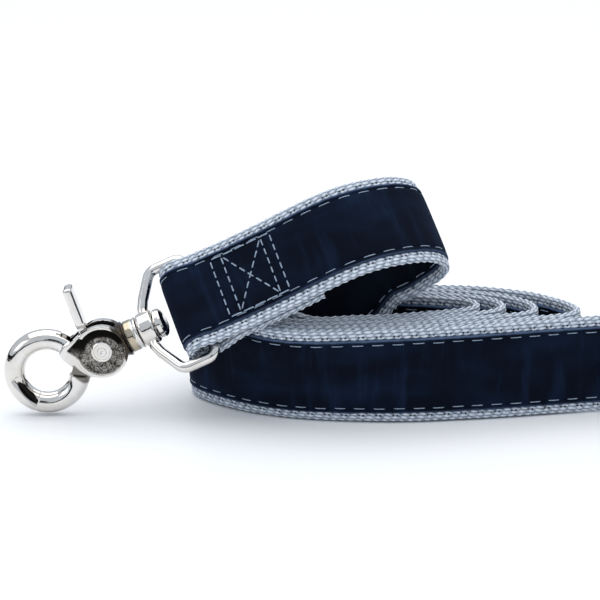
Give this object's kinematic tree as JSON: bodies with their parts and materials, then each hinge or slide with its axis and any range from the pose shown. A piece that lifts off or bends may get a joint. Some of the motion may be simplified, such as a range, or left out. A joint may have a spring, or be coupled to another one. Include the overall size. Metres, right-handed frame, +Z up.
{
  "type": "velvet-faced webbing lead",
  "caption": "Webbing lead faced with velvet ribbon, coiled on edge, with a stitched hand loop and a swivel trigger snap.",
  "frame": {"origin": "middle of the footprint at the level of the strap's lower edges, which stand on the surface", "axes": "+Z up across the strap's width, +X from the snap end to the hand loop, which is the longest extent"},
  "size_m": [0.3216, 0.055, 0.0605],
  "materials": {
    "webbing": "woven, light blue-grey",
    "velvet": "navy pile",
    "nickel": "polished nickel plate",
    "spring_steel": "drawn wire"
  },
  "bodies": {
    "strap": {"webbing_snap_end": "webbing", "webbing_return": "webbing", "webbing_coil": "webbing", "webbing_hand_loop": "webbing", "velvet_inner_snap_end": "velvet", "velvet_inner_return": "velvet", "velvet_inner_coil": "velvet", "velvet_inner_hand_loop": "velvet", "velvet_outer_snap_end": "velvet", "velvet_outer_return": "velvet", "velvet_outer_coil": "velvet", "velvet_outer_hand_loop": "velvet"},
    "eye": {"swivel_eye": "nickel"},
    "hook": {"hook_body": "nickel", "swivel_post": "nickel", "rivet_pin": "nickel", "return_spring": "spring_steel"},
    "trigger": {"trigger_jaw": "nickel"}
  },
  "joints": [
    {"name": "eye_on_strap", "type": "hinge", "parent": "strap", "child": "eye", "pos_m": [-0.1106, -0.00825, 0.02881], "axis": [-0.3304, 0.6208, 0.7109], "range_deg": [0, 95]},
    {"name": "hook_swivel", "type": "hinge", "parent": "eye", "child": "hook", "pos_m": [-0.12357, -0.00825, 0.02278], "axis": [-0.9068, 0, -0.4215], "continuous": true},
    {"name": "trigger_pivot", "type": "hinge", "parent": "hook", "child": "trigger", "pos_m": [-0.13535, -0.00825, 0.01752], "axis": [0, -1, 0], "range_deg": [0, 22], "stiffness_Nm_per_rad": 0.15, "springref_deg": -20.05}
  ]
}
